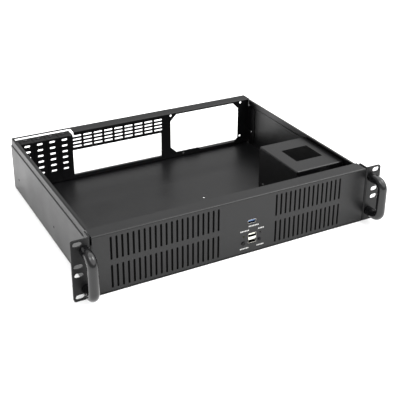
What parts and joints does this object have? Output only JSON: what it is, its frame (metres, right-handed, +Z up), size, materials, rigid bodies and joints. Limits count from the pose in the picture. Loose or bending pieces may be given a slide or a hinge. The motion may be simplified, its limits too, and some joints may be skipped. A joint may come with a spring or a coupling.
{
  "type": "rackmount server case",
  "caption": "Open-topped black steel rackmount case: vented front panel with ports and buttons, slotted ears, grab handles, vented rear panel, drive bracket.",
  "frame": {"origin": "centre of the floor's underside, midway between the ears' front face and the rear edge", "axes": "+X to the right seen from the front, +Y from the front panel to the rear, +Z up"},
  "size_m": [0.4826, 0.385, 0.0881],
  "materials": {
    "chassis_black": "fine-textured black powder coat, satin",
    "filter_black": "fine open mesh",
    "handle_black": "smooth black powder coat, semi-gloss",
    "screw_black": "black zinc",
    "board_green": "solder mask",
    "post_steel": "plain zinc",
    "port_metal": "bright nickel",
    "port_blue": "moulded",
    "port_white": "moulded",
    "button_black": "moulded, fine grain",
    "switch_black": "moulded",
    "switch_white": "moulded",
    "lens_green": "clear tinted, unlit",
    "lens_red": "clear tinted, unlit"
  },
  "bodies": {
    "chassis": {"base_tray": "chassis_black", "front_panel": "chassis_black", "vent_filters": "filter_black", "rear_panel": "chassis_black", "slot_cover_1": "chassis_black", "slot_cover_2": "chassis_black", "slot_cover_3": "chassis_black", "slot_cover_4": "chassis_black", "slot_cover_screws": "screw_black", "ear_left": "chassis_black", "ear_right": "chassis_black", "ear_screws": "screw_black", "handle_left": "handle_black", "handle_right": "handle_black", "handle_screws": "screw_black", "drive_bracket": "chassis_black", "drive_bracket_screws": "screw_black", "control_board": "board_green", "board_posts": "post_steel", "board_screws": "screw_black", "single_port_shell": "port_metal", "single_port_insert": "port_blue", "stacked_port_shell": "port_metal", "stacked_port_insert": "port_white", "power_switch": "switch_black", "reset_switch": "switch_black", "power_led": "lens_green", "drive_led": "lens_red", "led_spacers": "switch_black"},
    "power": {"power_button": "button_black", "power_switch_plunger": "switch_white"},
    "reset": {"reset_button": "button_black", "reset_switch_plunger": "switch_white"}
  },
  "joints": [
    {"name": "power_press", "type": "slide", "parent": "chassis", "child": "power", "axis": [0, 1, 0], "range_m": [0, 0.0008], "stiffness_N_per_m": 1200},
    {"name": "reset_press", "type": "slide", "parent": "chassis", "child": "reset", "axis": [0, 1, 0], "range_m": [0, 0.0008], "stiffness_N_per_m": 1200}
  ]
}
